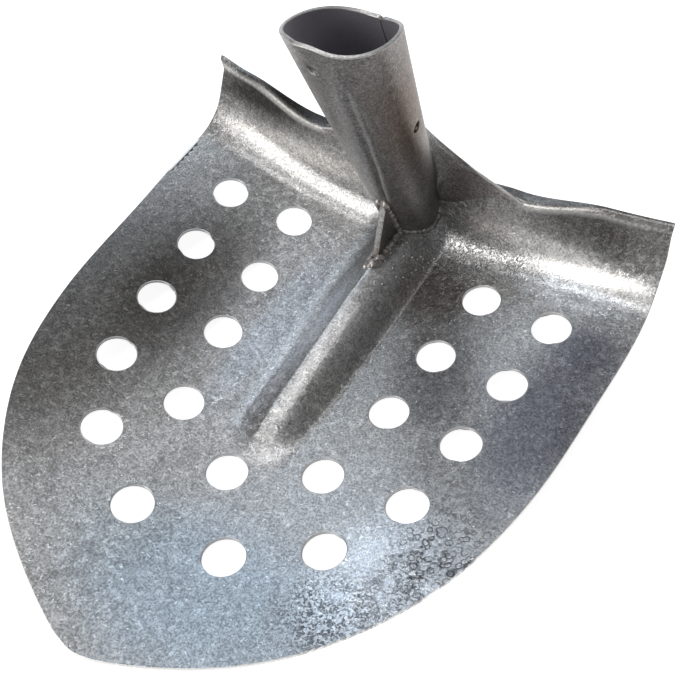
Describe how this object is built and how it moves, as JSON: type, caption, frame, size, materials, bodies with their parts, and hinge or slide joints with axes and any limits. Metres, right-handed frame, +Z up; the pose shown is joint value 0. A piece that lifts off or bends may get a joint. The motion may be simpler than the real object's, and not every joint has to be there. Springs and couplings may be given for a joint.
{
  "type": "perforated digging and sifting head",
  "caption": "Dished steel scoop head with sieve holes, stiffening ridge, turned-up rear tread, handle socket leaning over the blade and a gusset.",
  "frame": {"origin": "on the ground, at the centre of the head's footprint, in its mirror plane", "axes": "+Z up, -Y towards the blade's tip, +Y towards the tread and socket, X across the blade"},
  "size_m": [0.2474, 0.2736, 0.1631],
  "materials": {
    "blade_steel": "satin",
    "socket_steel": "satin",
    "gusset_steel": "satin",
    "weld_metal": "rough"
  },
  "bodies": {
    "root": {"blade": "blade_steel", "socket": "socket_steel", "gusset": "gusset_steel", "weld_gusset_foot": "weld_metal", "weld_gusset_top": "weld_metal", "weld_socket_left": "weld_metal", "weld_socket_right": "weld_metal"}
  },
  "joints": []
}
